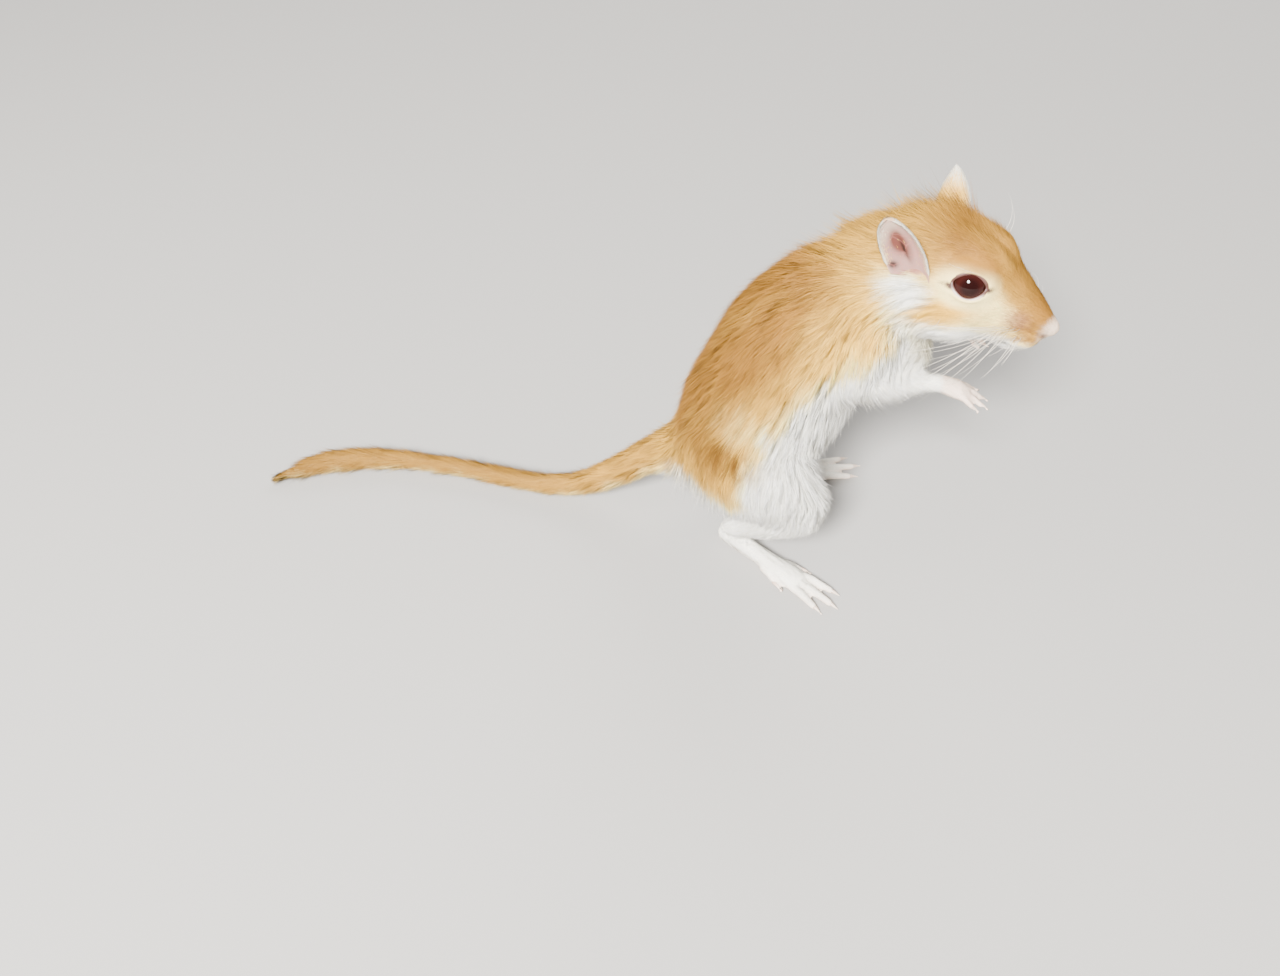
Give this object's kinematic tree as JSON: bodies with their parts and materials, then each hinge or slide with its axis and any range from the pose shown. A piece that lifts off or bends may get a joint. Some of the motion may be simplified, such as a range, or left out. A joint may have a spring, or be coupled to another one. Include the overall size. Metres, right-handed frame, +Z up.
{
  "type": "gerbil",
  "caption": "Life-size still model of a golden gerbil sitting up on its haunches, forepaws held out, long furred tail laid out behind.",
  "frame": {"origin": "centre of the whole model's box, at the floor it sits on", "axes": "+X the way the animal's body faces, +Y its left, +Z up"},
  "size_m": [0.1652, 0.0502, 0.0876],
  "materials": {
    "golden_fur": "short dense golden fur, matte",
    "cream_fur": "short cream-white fur, matte",
    "ear_skin": "thin pinkish skin with fine down",
    "foot_skin": "pale pink skin under thin white hair",
    "ruby_eye": "wet gloss, very dark ruby"
  },
  "bodies": {
    "root": {"head": "golden_fur", "neck": "golden_fur", "torso_front": "golden_fur", "torso_rear": "golden_fur", "tail_root": "golden_fur", "tail_middle": "golden_fur", "tail_end": "golden_fur", "thigh_right": "golden_fur", "thigh_left": "golden_fur", "upper_arm_right": "golden_fur", "upper_arm_left": "golden_fur", "shank_right": "cream_fur", "shank_left": "cream_fur", "forearm_right": "cream_fur", "forearm_left": "cream_fur", "hind_foot_right": "foot_skin", "hind_foot_left": "foot_skin", "fore_paw_right": "foot_skin", "fore_paw_left": "foot_skin", "ear_right": "ear_skin", "ear_left": "ear_skin", "eye_right": "ruby_eye", "eye_left": "ruby_eye"}
  },
  "joints": []
}
